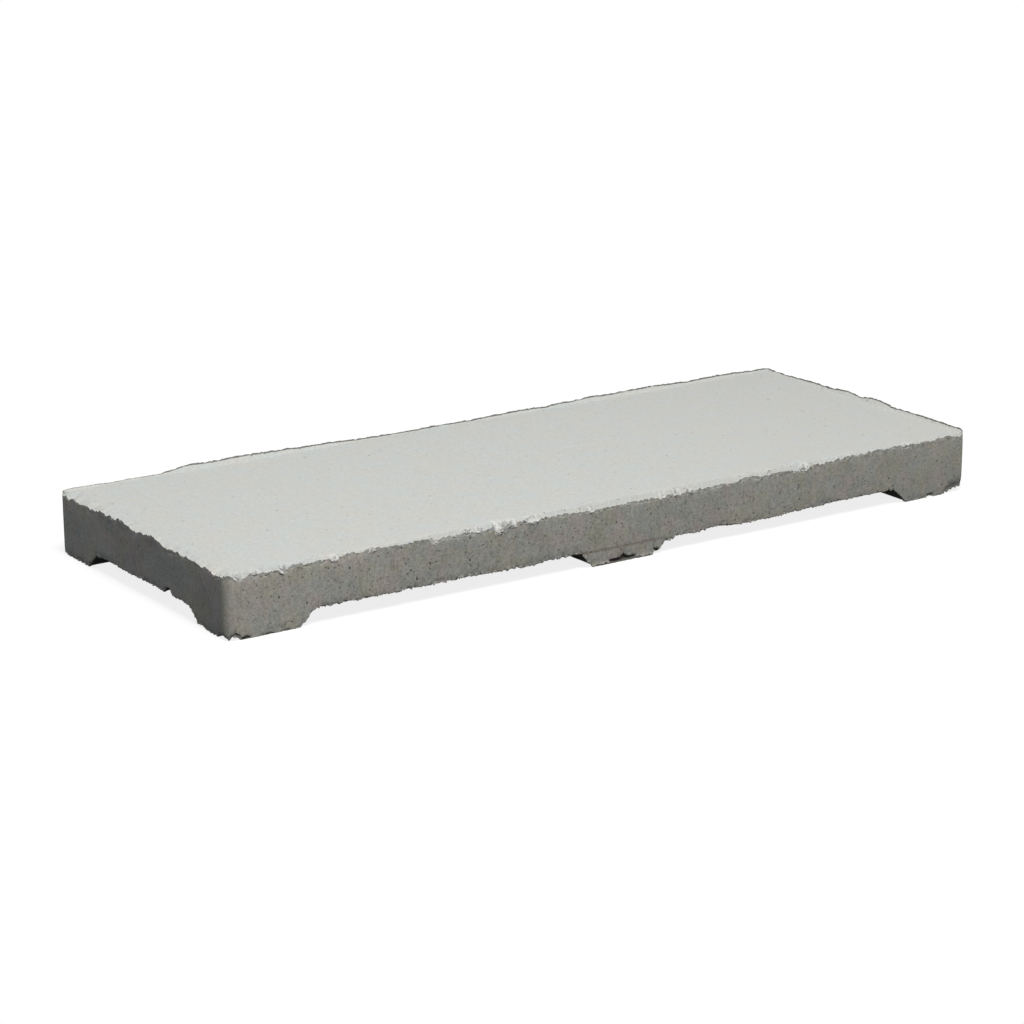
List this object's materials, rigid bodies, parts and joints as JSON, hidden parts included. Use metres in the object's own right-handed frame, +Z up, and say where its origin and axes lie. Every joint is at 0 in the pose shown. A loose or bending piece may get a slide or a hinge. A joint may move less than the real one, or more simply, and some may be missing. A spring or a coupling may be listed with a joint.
{
  "type": "refractory firebrick slab",
  "caption": "Thin pressed refractory slab with a smooth flat working face, slightly drafted sides and low feet that hold it clear of the surface below.",
  "frame": {"origin": "on the floor under the middle of the slab, level with the soles of the feet", "axes": "+X along the length, +Y across the width, +Z up out of the working face"},
  "size_m": [0.305, 0.114, 0.022],
  "materials": {
    "fired_clay": "matt unglazed fired clay, pale warm grey, smooth on the working face and finely pitted on the sides"
  },
  "bodies": {
    "root": {"firebrick": "fired_clay"}
  },
  "joints": []
}
